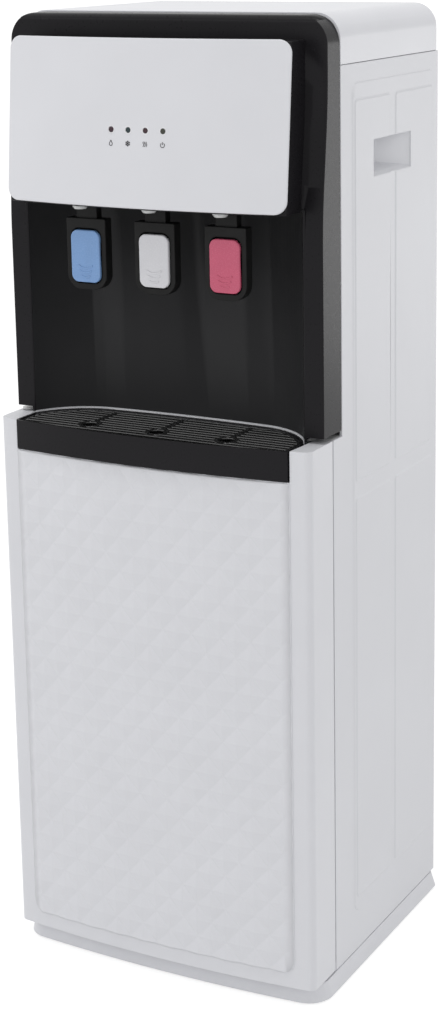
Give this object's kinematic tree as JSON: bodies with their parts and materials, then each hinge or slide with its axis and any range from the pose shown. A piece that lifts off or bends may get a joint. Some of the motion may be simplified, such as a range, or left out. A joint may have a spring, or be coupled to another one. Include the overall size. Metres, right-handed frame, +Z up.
{
  "type": "bottom load water cooler",
  "caption": "Floor-standing water cooler: black alcove with cold, room and hot push paddles, drip tray and a tall white door hiding the bottle bay.",
  "frame": {"origin": "on the floor, below the middle of the outline seen from above", "axes": "+Z up, -Y to the front with the door and taps, +X to the right as seen from the front"},
  "size_m": [0.368, 0.33, 1.01],
  "materials": {
    "aluminium": "plain",
    "black_gloss": "high gloss",
    "black_matte": "matt",
    "black_rubber": "matt",
    "board_green": "matt",
    "clear_lens": "translucent",
    "clear_nozzle": "translucent",
    "condenser_black": "black enamel",
    "copper": "copper",
    "foam": "rigid foam",
    "grille_black": "satin",
    "paddle_blue": "semi-gloss",
    "paddle_red": "semi-gloss",
    "paddle_white": "semi-gloss",
    "rocker_green": "semi-gloss",
    "silicone": "translucent silicone",
    "stainless": "brushed",
    "steel": "zinc plated",
    "white_inner": "matt",
    "white_panel": "satin",
    "white_plastic": "semi-gloss",
    "zinc_sheet": "galvanised"
  },
  "bodies": {
    "cabinet": {"band_heater": "aluminium", "base_plinth": "white_plastic", "bottle_probe": "white_inner", "cold_tank": "stainless", "cold_tank_foam": "foam", "compressor": "condenser_black", "compressor_mounts": "black_rubber", "condenser_tube": "condenser_black", "condenser_wires": "condenser_black", "control_board": "board_green", "cord_gland": "black_rubber", "display_panel": "white_plastic", "door_magnet": "black_rubber", "drain_spout": "white_inner", "evaporator_jacket": "aluminium", "filter_drier": "copper", "foam_lid": "foam", "front_bezel": "black_gloss", "hinge_pins": "steel", "hinge_screws": "steel", "hose_clips": "white_inner", "hot_tank": "stainless", "lamp_lenses": "clear_lens", "left_side_panel": "white_panel", "lower_hinge_bracket": "steel", "mid_deck": "white_inner", "nozzles": "clear_nozzle", "paddle_frames": "black_matte", "paddle_pins": "steel", "paddle_switches": "black_matte", "probe_clip": "white_inner", "probe_hose": "silicone", "pump_cradle": "black_rubber", "rear_panel": "zinc_sheet", "rear_screws": "steel", "refrigerant_lines": "copper", "right_side_panel": "white_panel", "rubber_feet": "black_rubber", "switch_housings": "black_matte", "tank_shelf": "zinc_sheet", "tank_thermostats": "black_matte", "tap_bodies": "white_inner", "terminal_cover": "black_matte", "top_cover": "white_plastic", "upper_hinge_bracket": "steel", "water_lines": "silicone", "water_pump": "black_matte"},
    "door": {"door_outer": "white_plastic", "door_liner": "white_inner", "door_strike": "steel", "hinge_bushes": "white_inner"},
    "paddle_cold": {"paddle_cold": "paddle_blue"},
    "paddle_room": {"paddle_room": "paddle_white"},
    "paddle_hot": {"paddle_hot": "paddle_red"},
    "drip_tray": {"drip_tray": "black_gloss"},
    "drip_grille": {"drip_grille": "grille_black"},
    "rocker_hot": {"rocker_hot": "paddle_red"},
    "rocker_cold": {"rocker_cold": "rocker_green"},
    "drain_cap": {"drain_cap": "white_inner"}
  },
  "joints": [
    {"name": "door_hinge", "type": "hinge", "parent": "cabinet", "child": "door", "pos_m": [-0.172, -0.107, 0.3], "axis": [0, 0, -1], "range_deg": [0, 95]},
    {"name": "paddle_cold_press", "type": "hinge", "parent": "cabinet", "child": "paddle_cold", "pos_m": [-0.08, -0.1245, 0.789], "axis": [1, 0, 0], "range_deg": [0, 6], "stiffness_Nm_per_rad": 0.6, "springref_deg": -2.86},
    {"name": "paddle_room_press", "type": "hinge", "parent": "cabinet", "child": "paddle_room", "pos_m": [0, -0.1245, 0.789], "axis": [1, 0, 0], "range_deg": [0, 6], "stiffness_Nm_per_rad": 0.6, "springref_deg": -2.86},
    {"name": "paddle_hot_press", "type": "hinge", "parent": "cabinet", "child": "paddle_hot", "pos_m": [0.08, -0.1245, 0.789], "axis": [1, 0, 0], "range_deg": [0, 6], "stiffness_Nm_per_rad": 0.6, "springref_deg": -2.86},
    {"name": "tray_pull", "type": "slide", "parent": "cabinet", "child": "drip_tray", "axis": [0, -1, 0], "range_m": [0, 0.09]},
    {"name": "grille_lift", "type": "slide", "parent": "drip_tray", "child": "drip_grille", "axis": [0, 0, 1], "range_m": [0, 0.03]},
    {"name": "rocker_hot_tip", "type": "hinge", "parent": "cabinet", "child": "rocker_hot", "pos_m": [0.06, 0.1505, 0.59], "axis": [1, 0, 0], "range_deg": [0, 16]},
    {"name": "rocker_cold_tip", "type": "hinge", "parent": "cabinet", "child": "rocker_cold", "pos_m": [0.095, 0.1505, 0.59], "axis": [1, 0, 0], "range_deg": [0, 16]},
    {"name": "drain_cap_off", "type": "slide", "parent": "cabinet", "child": "drain_cap", "axis": [0, 1, 0], "range_m": [0, 0.015]}
  ]
}
